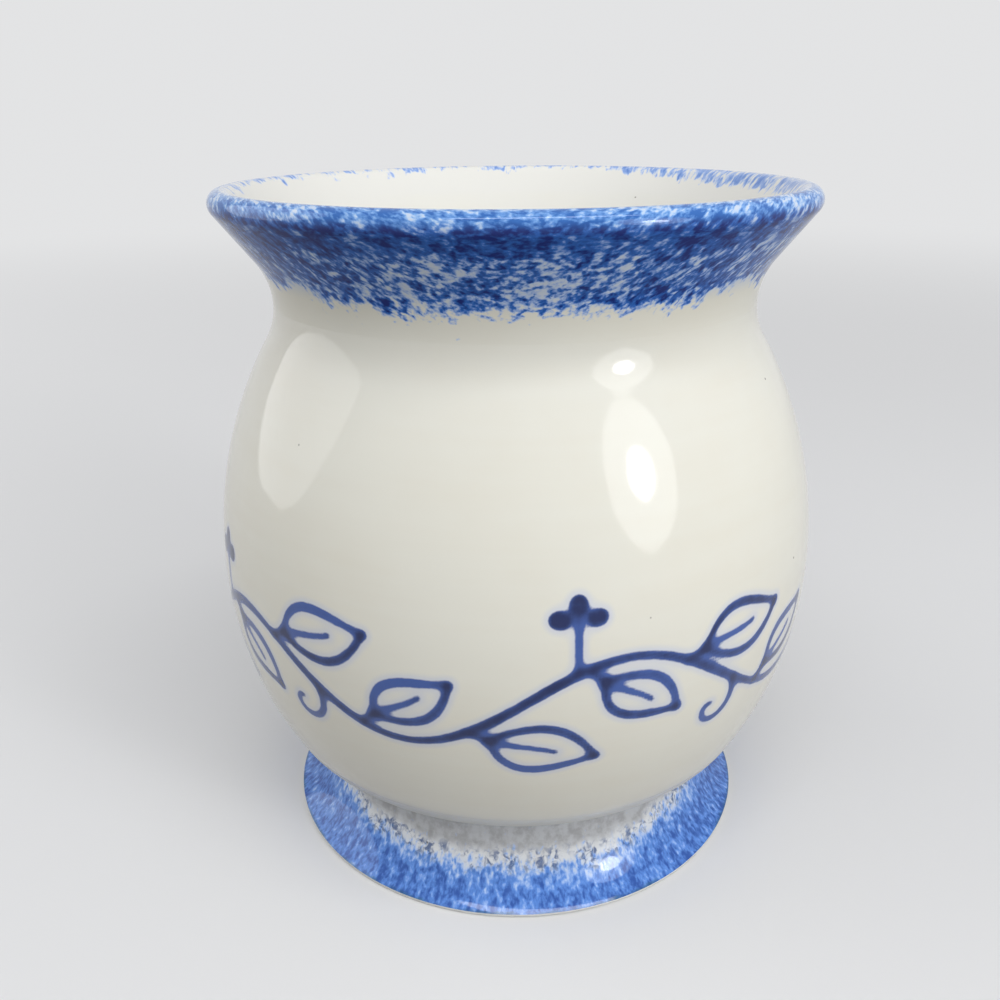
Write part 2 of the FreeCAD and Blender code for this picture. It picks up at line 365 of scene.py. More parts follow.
# %% A finish from a recipe
def make_finish(name, recipe):
    """A Principled material whose sockets take what the recipe returns: links, numbers or colours."""
    material = bpy.data.materials.new(name)
    material.use_nodes = True
    tree = material.node_tree
    shader = tree.nodes["Principled BSDF"]
    place = Socket(tree, tree.nodes.new("ShaderNodeTexCoord").outputs["Object"])
    for socket, value in recipe(place).items():
        if isinstance(value, Socket):
            tree.links.new(value.output, shader.inputs[socket])
        else:
            shader.inputs[socket].default_value = value
    print(f"{name}: {len(tree.nodes)} nodes")
    return material


# %% [markdown]
# ## Glaze
# The glaze is a glassy coat, so it is smooth and sharp in its reflections, but not perfectly level: it
# pools and ripples a little over the clay. A low bump bends the reflections. The cream drifts slightly
# in tone, and a few iron specks show through it.

# %% Gloss of the glaze
GLEAM = 0.45
POOLS = 9 * MM
THROWING_RINGS = 60 * MM
RIPPLE_HEIGHT = 0.05 * MM

# Heights over the waist in millimetres, between which the glaze turns dry, and then glossy again.
DRY_STARTS = (-7.0, -1.5)
DRY_ENDS = (6.0, 13.0)


def glassy(place, gleam=GLEAM):
    """The gloss of a glaze: low roughness that drifts a little, and a low ripple with faint rings.

    In the crease over the foot, and where the belly turns in to it, the glaze lies thin and dry, so it is
    rougher.
    """
    ripple = grain(place, POOLS, detail=1.0) + grain(place, THROWING_RINGS, upright=24, detail=1.0) * 0.2
    relief = {"Strength": 1.0, "Distance": RIPPLE_HEIGHT, "Height": ripple}
    bump = place.node("ShaderNodeBump", {}, relief)
    above = measure(place, 2) - waist_height / MM
    dry = rise(above, *DRY_STARTS) * (1 - rise(above, *DRY_ENDS))
    roughness = 0.05 + grain(place, 14 * MM) * 0.05 + dry * 0.5
    return {"Roughness": roughness, "Normal": bump, "Specular IOR Level": gleam}


# %% Cream glaze with specks
CREAM = (0.80, 0.79, 0.71, 1)
CREAM_WARM = (0.77, 0.74, 0.64, 1)
SPECK = (0.10, 0.085, 0.07, 1)
SPECK_CELL = 6 * MM


def specked(place, colour):
    """Iron specks: the middles of a few random cells, each well under a millimetre across."""
    spot = place.node("ShaderNodeVectorMath", {"operation": "SCALE"}, {0: place, "Scale": 1 / SPECK_CELL})
    cells = place.node("ShaderNodeTexVoronoi", {}, {"Vector": spot, "Scale": 1.0, "Randomness": 1.0})
    tint = Socket(place.tree, cells.output.node.outputs["Color"])
    chosen = rise(place.node("ShaderNodeSeparateColor", {}, {0: tint}), 0.70, 0.72)
    dot = 1 - rise(cells, 0.025, 0.055)
    return blend(dot * chosen * 0.8, colour, SPECK)


def cream(place):
    """Cream glaze that drifts between a cooler and a warmer tone, in faint rings left by the throwing."""
    rings = grain(place, THROWING_RINGS, upright=20, detail=2.0)
    drift = grain(place, 30 * MM, detail=3.0) * 0.7 + rings * 0.3
    return specked(place, blend(rise(drift, 0.35, 0.75) * 0.6, CREAM, CREAM_WARM))


# %% [markdown]
# ## Sponged cobalt
# The rim and the foot are dabbed with a damp sponge that holds cobalt. Its holes leave small flecks
# nearly bare, and where the dabs overlap the blue is deep. A noise of fleck size is compared with a
# level, the cover, that says how thickly the place was dabbed: the further the noise is under the cover,
# the more cobalt lies there. The three tones run softly into each other, because the glaze carries the
# cobalt a little way as it melts.

# %% Sponge print
PALE_STEP = (-0.11, 0.0)
FULL_STEP = (-0.05, 0.06)
DEEP_STEP = (0.03, 0.18)


def flecks(place, size, upright):
    """Flecks of a sponge: a noise of their size, with a finer one over it."""
    fine = grain(place, size * 0.4, upright)
    return grain(place, size, upright, detail=1.5, wander=0.3) * 0.7 + fine * 0.3


def sponge(under, ground, tones, soft=1.0):
    """Cobalt on a ground: pale, full and then deep, the further a place is under the cover."""
    colour = ground
    for tone, (low, high) in zip(tones, (PALE_STEP, FULL_STEP, DEEP_STEP)):
        colour = blend(rise(under, low * soft, high * soft), colour, tone)
    return colour


# %% [markdown]
# On the rim the cover fades out along an uneven line over the neck, so the lower edge of the band breaks
# up into specks. The sponge was swept up at both sides, so its flecks lie level in front and climb
# towards the sides.

# %% Cover and sweep of the rim
SWEEP = 110.0

# Heights in millimetres, each from where a change starts to where it is complete.
BAND = (120.4, 125.4)
UNDER_LIP = (130.5, 134.0)
CREST = (136.0, 138.2)


def rim_cover(place):
    """How thickly the rim is dabbed: hardly below a ragged line, half on the slope, most under the lip.

    The line dips in front.
    """
    height = measure(place, 2)
    dipped = height + 1.3 - rise(off_middle(place), 15, 46) * 1.5
    ragged = dipped + waver(place, 12 * MM, 6) + waver(place, 3 * MM, 3)
    dabbed = rise(ragged, *BAND) * (0.35 + waver(place, 8 * MM, 0.3))
    return 0.20 + dabbed + rise(height, *UNDER_LIP) * 0.06 - rise(height, *CREST) * 0.05


def swept(place):
    """The place on the wheel, its rings bent up to both sides by the distance from the middle squared."""
    side = measure(place, 0)
    lift = place.node("ShaderNodeCombineXYZ", {}, {"Z": side * side * (-MM / SWEEP)})
    return place.node("ShaderNodeVectorMath", {"operation": "ADD"}, {0: wheel_of(place), 1: lift})


# %% Rim finish
RIM_TONES = ((0.38, 0.53, 0.86, 1), (0.025, 0.145, 0.56, 1), (0.0, 0.016, 0.18, 1))
# The lip's tones are lighter partly because its glaze ran thin, and partly as a painted highlight of the
# light from above.
LIT_LIP_TONES = ((0.46, 0.65, 0.91, 1), (0.18, 0.39, 0.79, 1), (0.035, 0.165, 0.53, 1))
DUSTED = (0.57, 0.67, 0.86, 1)
RIM_GLEAM = 0.12

# More heights in millimetres.
DUST = (121.5, 126.0)
STREAKS_START = (131.0, 134.0)
STREAKS_END = (135.0, 136.4)
THIN_LIT_LIP = (135.6, 137.6)
CLEAR_LIP = (134.6, 136.4)


def rim_recipe(place):
    """Deep blue on the slope, streaked under the lip, and lighter on the lip: thin glaze and a painted
    highlight.

    A clear coat lies on the lip and thins out at both sides, so that the lip gleams more than the slope.
    """
    height = measure(place, 2)
    dabs = flecks(swept(place), 1.9 * MM, 1.6)
    streaks = grain(wheel_of(place), 3.4 * MM, 2.4, detail=3.0, wander=0.4)
    streaked = rise(height, *STREAKS_START) * (1 - rise(height, *STREAKS_END)) * 0.55
    under = rim_cover(place) - dabs - streaked * (streaks - dabs)
    ground = blend(rise(height, *DUST) * 0.8, cream(place), DUSTED)
    slope = sponge(under, ground, RIM_TONES, soft=1.2)
    # Lighter on the lip: partly the thin glaze, partly a painted highlight of the light from above.
    thin = rise(height + waver(place, 3 * MM, 2), *THIN_LIT_LIP)
    colour = blend(thin * 0.85, slope, sponge(under, ground, LIT_LIP_TONES))
    clear = rise(height, *CLEAR_LIP) * (0.55 - rise(off_middle(place), 36, 54) * 0.47)
    gloss = {**glassy(place, RIM_GLEAM), "Coat Weight": clear, "Coat Roughness": 0.04}
    return {"Base Color": colour, **gloss}


rim_finish = make_finish("sponged_rim_glaze", rim_recipe)

# %% [markdown]
# The foot is dabbed with a paler blue. The sponge was pulled down over the flare, so its flecks run in
# fine streaks from the crease to the edge. In front the blue stops halfway up, and at the sides it goes
# higher. Over it lie a few dark curls where the sponge's edge touched. In the crease, under the belly, a
# mottled grey of painted shade lies on the glaze. Just over the bare edge the glaze gathers in a thin,
# dark green-blue line. Where the blue is solid the glaze lies thick, so a clear coat over it catches the
# lamps.

# %% Blue and dust of the foot
FOOT_TONES = ((0.37, 0.54, 0.90, 1), (0.10, 0.265, 0.73, 1), (0.018, 0.085, 0.38, 1))
FOOT_PALE = (0.44, 0.58, 0.87, 1)
FOOT_BARE = (0.76, 0.78, 0.80, 1)
# Painted shade: two greys for the crease over the foot, where the belly shades it.
FOOT_SHADE = (0.37, 0.37, 0.38, 1)
FOOT_SHADE_PALE = (0.50, 0.515, 0.53, 1)


def foot_level(place, wheel):
    """A ragged height in millimetres, taken lower at both sides, where the blue reaches higher."""
    dipped = measure(place, 2) - rise(off_middle(place), 16, 46) * 3.5
    return dipped + waver(place, 9 * MM, 5) + waver(wheel, 2.2 * MM, 2)


def foot_blue(place, wheel, level):
    """Blue that thins out upwards, on a ground that turns from pale blue to bare glaze to a grey of
    painted shade.
    """
    cover = 0.66 - rise(level, 2.0, 12.0) * 0.45 + waver(place, 7 * MM, 0.16)
    # The grey in the crease is painted shade, mottled between two greys.
    crease_shade = blend(rise(grain(wheel, 2.4 * MM, detail=4.0), 0.36, 0.64), FOOT_SHADE, FOOT_SHADE_PALE)
    upper_ground = blend(rise(level, 8.5, 12.0), FOOT_BARE, crease_shade)
    ground = blend(rise(level, 3.0, 9.5), FOOT_PALE, upper_ground)
    return sponge(cover - flecks(wheel, 1.3 * MM, 0.64), specked(place, ground), FOOT_TONES, soft=1.65)


# %% Foot finish
CURL_MARK = (0.03, 0.085, 0.25, 1)
GATHERED = (0.02, 0.10, 0.20, 1)
FOOT_GLEAM = 0.3


def curl_marks(place, wheel, level):
    """Where the dark curls lie: on the upper edge of the blue, in patches."""
    zone = rise(level, 5.0, 7.5) * (1 - rise(level, 9.0, 11.5)) * rise(grain(place, 6 * MM), 0.34, 0.56)
    return rise(grain(wheel, 1.7 * MM, wander=0.8), 0.44, 0.66) * zone * 0.85


def gathered_line(place, wheel):
    """Where the glaze ran down and gathered: within half a millimetre of the bare edge, in patches."""
    drip = measure(place, 2) - foot_edge / MM + waver(wheel, 1.6 * MM, 0.8)
    return (1 - rise(drip, 0.05, 0.4)) * rise(grain(place, 9 * MM), 0.35, 0.6)


def foot_recipe(place):
    """Sponged blue, then the curls and the gathered line, and a clear coat that thins at both sides."""
    wheel = wheel_of(place)
    level = foot_level(place, wheel)
    curled = blend(curl_marks(place, wheel, level), foot_blue(place, wheel, level), CURL_MARK)
    colour = blend(gathered_line(place, wheel) * 0.7, curled, GATHERED)
    clear = (1 - rise(level, 5.0, 9.0)) * (0.37 - rise(off_middle(place), 32, 50) * 0.32)
    gloss = {**glassy(place, FOOT_GLEAM), "Coat Weight": clear, "Coat Roughness": 0.05}
    return {"Base Color": colour, **gloss}


foot_finish = make_finish("sponged_foot_glaze", foot_recipe)

# %% [markdown]
# Inside, the glaze is whiter. The sponge only caught the edge there, so a thin, pale fringe of blue
# hangs from the crest, a millimetre deep on most of the rim and a few millimetres at the right.

# %% Lining finish
WHITE = (0.79, 0.785, 0.745, 1)
FRINGE_TONES = ((0.50, 0.61, 0.85, 1), (0.26, 0.40, 0.76, 1), (0.12, 0.25, 0.64, 1))
FRINGE_ENDS = (5.0, 7.0)


def lining_recipe(place):
    """White glaze, and a fringe whose reach below the crest grows to the right and in a few patches."""
    below = crest_height / MM - measure(place, 2)
    wheel = wheel_of(place)
    reach = 0.3 + rise(measure(place, 0), 18, 52) * 2.6 + rise(grain(wheel, 6 * MM), 0.5, 0.72) * 1.6
    cover = 0.50 - rise(below - reach, -0.8, 1.6) * 0.32
    blue = sponge(cover - flecks(wheel, 1.5 * MM, 0.5), WHITE, FRINGE_TONES)
    drift = rise(grain(place, 30 * MM, detail=3.0), 0.35, 0.8) * 0.5
    plain = specked(place, blend(drift, WHITE, CREAM))
    return {"Base Color": blend(1 - rise(below, *FRINGE_ENDS), plain, blue), **glassy(place)}


lining_finish = make_finish("white_glaze_lining", lining_recipe)

# %% [markdown]
# ## Bare clay
# The foot stands on a bare ring of fired clay, wiped clean of glaze so that it doesn't stick in the
# kiln. It is matt and finely gritty. The same clay lies hidden under all of the glaze.

# %% Clay finish
CLAY = (0.76, 0.77, 0.75, 1)
CLAY_DARK = (0.58, 0.57, 0.52, 1)
GRIT = 0.5 * MM
GRIT_HEIGHT = 0.04 * MM


def clay_recipe(place):
    """Pale clay with fine grit, and darker where a stain or a coarse grain lies."""
    grit = grain(place, GRIT, detail=3.0)
    bump = place.node("ShaderNodeBump", {}, {"Strength": 0.6, "Distance": GRIT_HEIGHT, "Height": grit})
    stain = rise(grain(place, 6 * MM, detail=3.0), 0.5, 0.75) * 0.4 + rise(grit, 0.6, 0.75) * 0.3
    return {"Base Color": blend(stain, CLAY, CLAY_DARK), "Roughness": 0.62 + grit * 0.2, "Normal": bump}


clay_finish = make_finish("bare_stoneware", clay_recipe)

# %% [markdown]
# ## Hidden clay, foot and recess
# The vessel and the collar lie under glaze on both sides, so coarse steps are enough for them. The foot
# ring shows its bare edge and sole. The recess under it is glazed.

# %% Vessel and collar
HIDDEN_SIDES = 240
COARSE = 2.0 * MM
VESSEL_ROUNDS = ["floor", "lower", "upper", "throat"]

vessel_profile = np.vstack((
    outline(glaze, VESSEL_ROUNDS, COARSE, start=(0, foot_height + glaze)),
    outline(inner_clay, VESSEL_ROUNDS, COARSE, start=(0, foot_height + inner_clay))[::-1],
))
dress(turned("clay_vessel", vessel_profile, HIDDEN_SIDES), "vessel", clay_finish)

# Both lines end at the same point, on top of the clay lip, so the inner one leaves it out.
collar_profile = np.vstack((
    outline(glaze, ["collar", "lip"], COARSE),
    outline(inner_clay, ["collar", "lip_inside"], COARSE)[-2::-1],
))
dress(turned("clay_collar", collar_profile, HIDDEN_SIDES), "rim_collar", clay_finish)

# %% Foot ring
ROUND_SIDES = 480
FINE = 0.5 * MM

sole_corners = [(foot_radius, foot_edge), (foot_radius, FOOT_BEVEL), (foot_radius - FOOT_BEVEL, 0.0)]
foot_profile = np.vstack((
    [(WAIST_RADIUS - foot_clay, foot_height + glaze)],
    outline(glaze, ["flare", "crease", "seat"], FINE)[::-1],
    sole_corners,
    outline(foot_clay, ["flare"], FINE, low=0.0),
))
dress(turned("clay_foot", foot_profile, ROUND_SIDES), "foot_ring", clay_finish)


# %% Glazed recess
def recess_recipe(place):
    """Cream glaze, as on the belly."""
    return {"Base Color": cream(place), **glassy(place)}


recess_top = np.array([(0, foot_height), (WAIST_RADIUS - FOOT_WALL, foot_height)])
recess_back = np.array([(WAIST_RADIUS - foot_clay, foot_height + glaze), (0, foot_height + glaze)])
recess_profile = np.vstack((
    evenly(recess_top, COARSE),
    outline(FOOT_WALL, ["flare"], FINE)[::-1],
    outline(foot_clay, ["flare"], FINE),
    evenly(recess_back, COARSE),
))
recess_finish = make_finish("white_glaze_recess", recess_recipe)
dress(turned("glazed_recess", recess_profile, ROUND_SIDES), "base_glaze", recess_finish)

# %% [markdown]
# ## Coats of glaze
# Each coat is a closed shell between the outline and one glaze thickness under it. Neighbouring coats
# share the same line, so they meet without a step at the neck, the crest and the crease.

# %% Rim and foot
COAT_STEP = 0.4 * MM
COAT_BACK_STEP = 1.0 * MM


def coat(names):
    """A shell's profile: the outline, then back along it one glaze coat deeper, in longer steps."""
    return np.vstack((outline(0.0, names, COAT_STEP), outline(glaze, names, COAT_BACK_STEP)[::-1]))


rim_profile = coat(["collar", "lip"])
rim = turned("sponged_rim", rim_profile, ROUND_SIDES, start=rim_profile[:, 1].argmax())
dress(rim, "rim_glaze", rim_finish)
foot = turned("sponged_foot", coat(["flare", "crease"]), ROUND_SIDES, drum=foot_radius)
dress(foot, "foot_glaze", foot_finish)

# %% [markdown]
# The lining is fine at the rim, where its fringe of blue and the round of the lip show, and coarse down
# the inside. Its back, against the clay, is coarser still.

# %% Lining
GUIDE = 0.1 * MM
BURIED = 4.0 * MM
LINING_ROUNDS = ["floor", "lower", "upper", "throat", "collar", "lip_inside"]


def graded(line, low, high, fine, coarse):
    """The line again, in fine steps between two heights and in coarse steps elsewhere."""
    middle = (line[1:, 1] + line[:-1, 1]) / 2
    step = np.where((middle > low) & (middle < high), fine, coarse)
    count = np.concatenate(([0.0], np.cumsum(np.diff(along_line(line)) / step)))
    place = np.linspace(0.0, count[-1], math.ceil(count[-1]) + 1)
    return np.column_stack([np.interp(place, count, line[:, axis]) for axis in (0, 1)])


lining_guide = outline(wall, LINING_ROUNDS, GUIDE, start=(0, foot_height + wall))
lining_profile = np.vstack((
    outline(inner_clay, LINING_ROUNDS, BURIED, start=(0, foot_height + inner_clay)),
    graded(lining_guide, neck_height, crest_height, FINE, COARSE)[::-1],
))
lining = turned("white_lining", lining_profile, ROUND_SIDES, start=lining_profile[:, 1].argmax())
dress(lining, "liner_glaze", lining_finish)

# %% [markdown]
# ## The brushed vine
# Round the belly runs a plain vine with leaves, curls and berries, drawn with a loaded brush about as
# wide as a pencil. It could be thin ribbons laid on the glaze, but real brushwork lies under the glaze
# and has no edge to feel. So each stroke is a row of points with a brush width, and every vertex of the
# belly stores its gap to the nearest stroke. The gap is smooth even where the mesh is coarse, so the
# shader can draw a sharp edge from it, and a soft one where the cobalt bled. Here the belly is unrolled:
# a point is a distance round the widest ring and a height over it, in millimetres.

# %% Line of the vine
WAVES = 5
VINE_LEVEL = -7.0
VINE_SWING = 8.5
VINE_DRIFT = 1.2
girth = 2 * math.pi * belly_radius / MM


def vine(along):
    """The vine's height over the widest ring: a wave, and a slower drift of the hand."""
    turn = 2 * math.pi * along / girth
    return VINE_LEVEL + VINE_SWING * np.sin(WAVES * turn) + VINE_DRIFT * np.sin(2 * turn + 1.0)


def on_vine(along):
    """The point of the vine at a distance round the belly."""
    return np.array((along, vine(along)))


def heading(along):
    """The vine's direction at a place, from a short step each way."""
    return math.atan2(vine(along + 0.5) - vine(along - 0.5), 1.0)


def unit(angle):
    """A step of length one in a direction: its cosine and its sine."""
    return np.array((math.cos(angle), math.sin(angle)))


print(f"{girth:.0f} mm round the belly, {girth / WAVES:.0f} mm to a wave")

# %% Strokes
LINE = 0.94
hand = np.random.default_rng(7)
strokes = []


def stroke(points, half, fill):
    """Keeps one brush stroke: its points, its half width, and its cobalt, which gathers at both ends."""
    share = np.linspace(0, 1, len(points))
    cobalt = fill + (1 - fill) * 0.6 * np.abs(2 * share - 1) ** 3
    strokes.append((points, np.broadcast_to(half, share.shape), cobalt))


def rooted(points):
    """A share of the width: half at the root, which stays inside the stem, and all of it 1.4 mm on."""
    return np.minimum(1.0, 0.5 + 0.36 * np.hypot(*(points - points[0]).T))


# %% Leaves
LEAF_STALK = 4.0
DROOP = 3.0
VEIN = 0.62


def leaf(along, side, lean, length, width):
    """A stalk, two bowed edges and a vein.

    An edge goes its length ahead, and half the width times a sine across. Edges and vein droop to one
    side, by the square of a sine that grows to the tip.
    """
    turn = heading(along) + side * lean
    ahead, across = unit(turn), unit(turn + math.pi / 2)
    stalk = on_vine(along) + np.outer(np.linspace(0, LEAF_STALK, 12), ahead)
    stroke(stalk, LINE * 0.85 * rooted(stalk), 0.7)
    share = np.linspace(0, 1, 60)
    droop = -side * DROOP * np.sin(share * math.pi / 2) ** 2
    for edge in (1, -1):
        bow = droop + edge * width / 2 * np.sin(math.pi * share**0.85)
        border = stalk[-1] + np.outer(length * share, ahead) + np.outer(bow, across)
        stroke(border, LINE * (0.75 + 0.3 * np.sin(math.pi * share)), hand.uniform(0.3, 0.75))
    vein = stalk[-1] + np.outer(length * VEIN * share, ahead) + np.outer(droop * VEIN, across)
    stroke(vein, LINE * (0.82 - 0.12 * share), 0.35)


# %% Curls and berries
BERRY_STALK = 10.3
BERRY_RING = 3.4
BERRY_SPREAD = 1.3


def curl(along, side, size):
    """A tendril: steps that shorten while their direction turns inwards faster and faster."""
    share = np.linspace(0, 1, 90)
    turn = heading(along) + side * (0.6 + 5.6 * share**1.25)
    step = size * (1 - 0.82 * share) / len(share)
    path = np.cumsum(np.column_stack((np.cos(turn), np.sin(turn))) * step[:, None], axis=0)
    stroke(path + on_vine(along), LINE * (0.95 - 0.25 * share) * rooted(path), 0.45)


def berries(along, side):
    """A short stalk, and three round dabs about a point just short of its end."""
    turn = heading(along) + side * 1.15
    stalk = on_vine(along) + np.outer(np.linspace(0, BERRY_STALK, 24), unit(turn))
    stroke(stalk, LINE * 0.8 * rooted(stalk), 0.4)
    heart = stalk[-3]
    for spread in (-BERRY_SPREAD, 0.0, BERRY_SPREAD):
        dab = heart + np.outer(BERRY_RING + np.linspace(-0.3, 0.3, 5), unit(turn + spread))
        stroke(dab, hand.uniform(1.6, 1.9), hand.uniform(0.55, 0.9))


# %% The whole vine
ABOVE, BELOW = 1, -1
LONG_LEAF = (20.0, 10.5)
SHORT_LEAF = (17.0, 9.0)
LONG_LEAN, SHORT_LEAN = 0.85, 1.1
CURL_SIZE = 31.0

wave = girth / WAVES
for start in wave * np.arange(WAVES):
    shift = hand.uniform(-1.2, 1.2, 6)
    tilt = hand.uniform(-0.07, 0.07, 4)
    berries(start + 0.13 * wave + shift[0], ABOVE)
    leaf(start + 0.38 * wave + shift[1], ABOVE, LONG_LEAN + tilt[0], *LONG_LEAF)
    curl(start + 0.53 * wave + shift[2], BELOW, CURL_SIZE)
    leaf(start + 0.65 * wave + shift[3], ABOVE, SHORT_LEAN + tilt[1], *SHORT_LEAF)
    leaf(start + 0.88 * wave + shift[4], BELOW, LONG_LEAN + tilt[2], *LONG_LEAF)
    leaf(start + 1.15 * wave + shift[5], BELOW, SHORT_LEAN + tilt[3], *SHORT_LEAF)
stem = np.arange(0.0, girth, 0.4)
stroke(np.column_stack((stem, vine(stem))), LINE * (1.05 + 0.12 * np.sin(stem * 0.21)), 0.5)
print(f"{len(strokes)} strokes")

# %% [markdown]
# The belly's mesh is fine where the brush goes, and coarse over and under it, where only the smooth
# shape counts.

# %% Belly under the brush
BRUSHED_SIDES = 640
BRUSHED_LOW, BRUSHED_HIGH = 34.0 * MM, 84.0 * MM
BRUSHED_STEP, PLAIN_STEP = 0.62 * MM, 1.6 * MM
BELLY_ROUNDS = ["heel", "lower", "upper", "throat"]

belly_guide = outline(0.0, BELLY_ROUNDS, GUIDE)
belly_line = graded(belly_guide, BRUSHED_LOW, BRUSHED_HIGH, BRUSHED_STEP, PLAIN_STEP)
belly_back = outline(glaze, BELLY_ROUNDS, BURIED)[::-1]
belly = turned("glazed_belly", np.vstack((belly_line, belly_back)), BRUSHED_SIDES)

line_length = along_line(belly_line) / MM
line_up = line_length - np.interp(BELLY_HEIGHT, belly_line[:, 1], line_length)
line_along = np.arange(BRUSHED_SIDES) * girth / BRUSHED_SIDES
belly_grid = (len(belly_line), BRUSHED_SIDES)
print(f"{belly_grid[0]} rings of {belly_grid[1]} vertices outside")

# %% [markdown]
# A stroke is laid in parts of a few dozen points, and each part only looks at the vertices near it. That
# keeps the arrays small.

# %% One stroke on the belly
FAR = 4.0
PART = 60


def round_trip(distance):
    """A distance along the belly, taken the shorter way round."""
    return (distance + girth / 2) % girth - girth / 2


def lay(points, half, cobalt):
    """The distance from each vertex to the stroke's nearest point, less the half width, and its cobalt.

    Over and under the widest ring the belly is narrower, so a step round it is shorter in the same share.
    """
    near, tone = np.full(belly_grid, FAR), np.zeros(belly_grid)
    for part in np.array_split(np.arange(len(points)), math.ceil(len(points) / PART)):
        along, up = points[part].T
        middle, margin = (along.min() + along.max()) / 2, FAR + 2
        columns = np.flatnonzero(abs(round_trip(line_along - middle)) < np.ptp(along) / 2 + margin)
        rows = np.flatnonzero((line_up > up.min() - margin) & (line_up < up.max() + margin))
        squeeze = belly_line[rows, 0, None, None] / belly_radius
        aside = round_trip(line_along[columns, None] - along) * squeeze
        reach = np.hypot(aside, line_up[rows, None, None] - up) - half[part]
        block, nearest = np.ix_(rows, columns), reach.min(axis=2)
        tone[block] = np.where(nearest < near[block], cobalt[part][reach.argmin(axis=2)], tone[block])
        near[block] = np.minimum(near[block], nearest)
    return near, tone


# %% [markdown]
# Where two wet strokes meet, the cobalt fills the corner between them. So the smaller of two gaps is
# taken, and lowered a little more where both are nearly the same. In the end each value is evened out
# with its neighbours, so that the mesh doesn't show in narrow corners.

# %% All strokes together
MERGE = 1.5
EDGE = 0.8


def evened(grid):
    """Half of each value and a quarter of each neighbour, first up and down and then round the belly."""
    grid = np.vstack((grid[:1], (grid[:-2] + 2 * grid[1:-1] + grid[2:]) / 4, grid[-1:]))
    return (np.roll(grid, 1, axis=1) + 2 * grid + np.roll(grid, -1, axis=1)) / 4


gap, load = np.full(belly_grid, FAR), np.zeros(belly_grid)
for laid in strokes:
    near, tone = lay(*laid)
    pull = np.clip(1 - abs(gap - near) / MERGE, 0, 1) * (near < FAR)
    gap = np.minimum(gap, near) - pull**2 * MERGE / 4
    load = 1 - (1 - load) * (1 - np.clip(0.5 - near / EDGE, 0, 1) * tone)
gap, load = evened(gap), evened(load)
print(f"{(gap < 0).mean():.1%} of the belly is brushed")

# %% Store gap and cobalt on the belly's vertices
for name, grid, rest in (("brush_gap", gap, FAR), ("brush_load", load, 0.0)):
    values = np.full(len(belly.data.vertices), rest, np.float32)
    values[:grid.size] = grid.ravel()
    belly.data.attributes.new(name, "FLOAT", "POINT").data.foreach_set("value", values)
    print(f"{name}: {values.min():.2f} to {values.max():.2f}")

# %% Belly finish
INK = (0.004, 0.016, 0.10, 1)
INK_THIN = (0.045, 0.105, 0.38, 1)
BLEED = (0.58, 0.63, 0.78, 1)

# Gaps in millimetres, from inside a stroke to outside it.
INK_EDGE = (-0.18, 0.14)
BLEED_EDGE = (-0.1, 1.5)


def stored(place, name):
    """A number that is kept on the vertices."""
    return place.node("ShaderNodeAttribute", {"attribute_name": name}, {}, "Fac")


def belly_recipe(place):
    """Cream glaze over brushwork: dark where cobalt gathered, thin elsewhere, with a faint bleed."""
    edge = stored(place, "brush_gap") + waver(place, 1.6 * MM, 0.22)
    wet = blend((1 - rise(edge, *BLEED_EDGE)) * 0.6, cream(place), BLEED)
    flow = rise(stored(place, "brush_load") + waver(place, 4 * MM, 0.5, detail=3.0), 0.25, 0.85)
    ink = blend(flow, INK_THIN, INK)
    return {"Base Color": blend(1 - rise(edge, *INK_EDGE), wet, ink), **glassy(place)}


dress(belly, "body_glaze", make_finish("cream_glaze", belly_recipe))

# %% [markdown]
# ## Studio
# A glossy pot shows the shape of every lamp, so the lamps are ovals: a tall one to the right of the
# camera, with a bright core, whose reflections stand on the belly and the foot, a thin strip above,
# whose reflection lies on the shoulder and the lip, and a weak, broad one at the left. The floor is pale
# and runs into a pale backdrop. Camera, glossy and transmission rays see them so. Other rays meet a
# dimmer floor, and a world that is brighter in front than behind, so that the underside of the belly
# keeps its shade and the glaze renders about as its colour is written.

# %% Floor finish
BACKDROP = (0.985, 0.99, 1.0, 1)
BACKDROP_STRENGTH = 0.78
FLOOR_PALE = (0.80, 0.805, 0.815, 1)
FLOOR_PALER = (0.83, 0.83, 0.835, 1)
FLOOR_DIM = (0.13, 0.122, 0.105, 1)
FADE = (0.15, 1.3)


def background_rays(tree):
    """1 for camera, glossy and transmission rays, and 0 for the rest."""
    path = tree.nodes.new("ShaderNodeLightPath").outputs
    kinds = ("Camera", "Glossy", "Transmission")
    seen, glossy, through = (Socket(tree, path[f"Is {kind} Ray"]) for kind in kinds)
    return seen.math("MAXIMUM", seen, seen.math("MAXIMUM", glossy, through))


def floor_recipe(place):
    """Two pale tones, mixed by a noise, for rays that see the background, and a dim one for the rest."""
    pale = blend(grain(place, 0.4, detail=2.0), FLOOR_PALE, FLOOR_PALER)
    return {"Base Color": blend(background_rays(place.tree), FLOOR_DIM, pale), "Roughness": 0.8}


floor_finish = make_finish("pale_floor", floor_recipe)

# %% [markdown]
# Further away from the pot the floor gives way to the same glow as the world's, so no horizon shows.

# %% Floor that fades into the backdrop
FLOOR_HALF = 12.0

tree = floor_finish.node_tree
place = Socket(tree, tree.nodes["Texture Coordinate"].outputs["Object"])
lit = Socket(tree, tree.nodes["Principled BSDF"].outputs["BSDF"])
glow = place.node("ShaderNodeEmission", {}, {"Color": BACKDROP, "Strength": BACKDROP_STRENGTH})
away = place.node("ShaderNodeVectorMath", {"operation": "LENGTH"}, {0: place}, "Value")
faded = rise(away, *FADE) * background_rays(tree)
merged = place.node("ShaderNodeMixShader", {}, {0: faded, 1: lit, 2: glow})
tree.links.new(merged.output, tree.nodes["Material Output"].inputs["Surface"])

